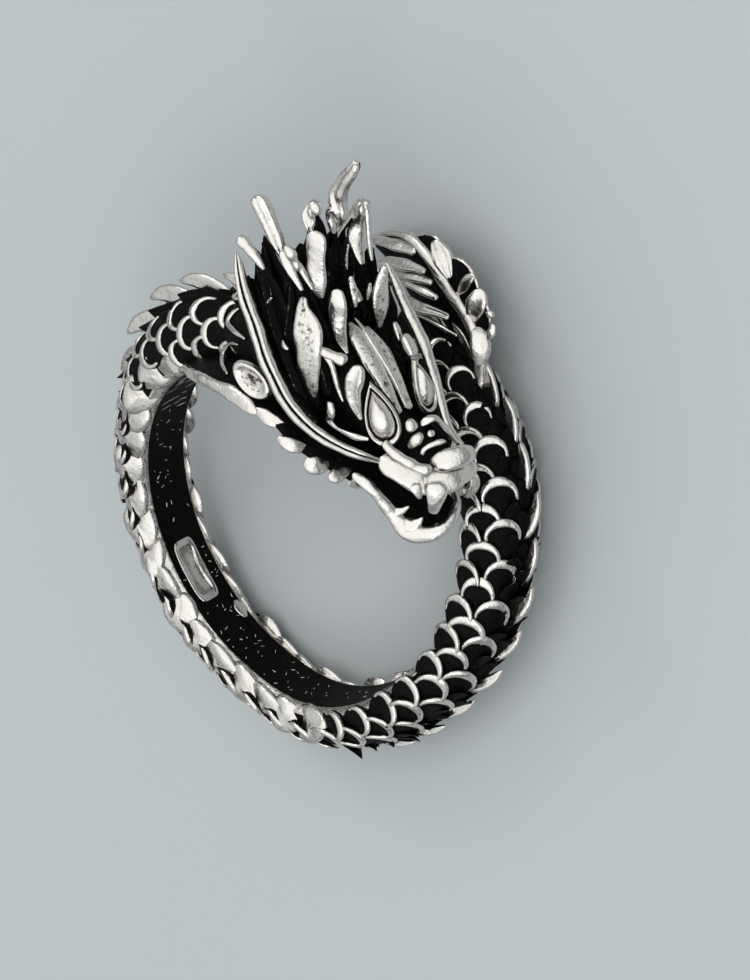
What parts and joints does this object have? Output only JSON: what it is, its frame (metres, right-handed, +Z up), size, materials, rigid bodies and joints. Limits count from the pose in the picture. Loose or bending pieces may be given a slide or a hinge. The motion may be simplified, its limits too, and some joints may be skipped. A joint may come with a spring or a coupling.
{
  "type": "finger ring",
  "caption": "Silver finger ring cast as a dragon: a scaled body with a spined crest coils round the finger to an open-mouthed head with horns, whiskers and a feathered tail beside it.",
  "frame": {"origin": "middle of the part's bounding box, on the floor it lies on", "axes": "+Z up from the floor, near the axis of the finger hole, which leans 16 degrees towards +Y as the ring lies on its side; -Y towards the head and its snout"},
  "size_m": [0.0252, 0.0326, 0.0129],
  "materials": {
    "antiqued_silver": "silver, polished on the high points over black oxidised recesses"
  },
  "bodies": {
    "root": {"dragon_ring": "antiqued_silver"}
  },
  "joints": []
}
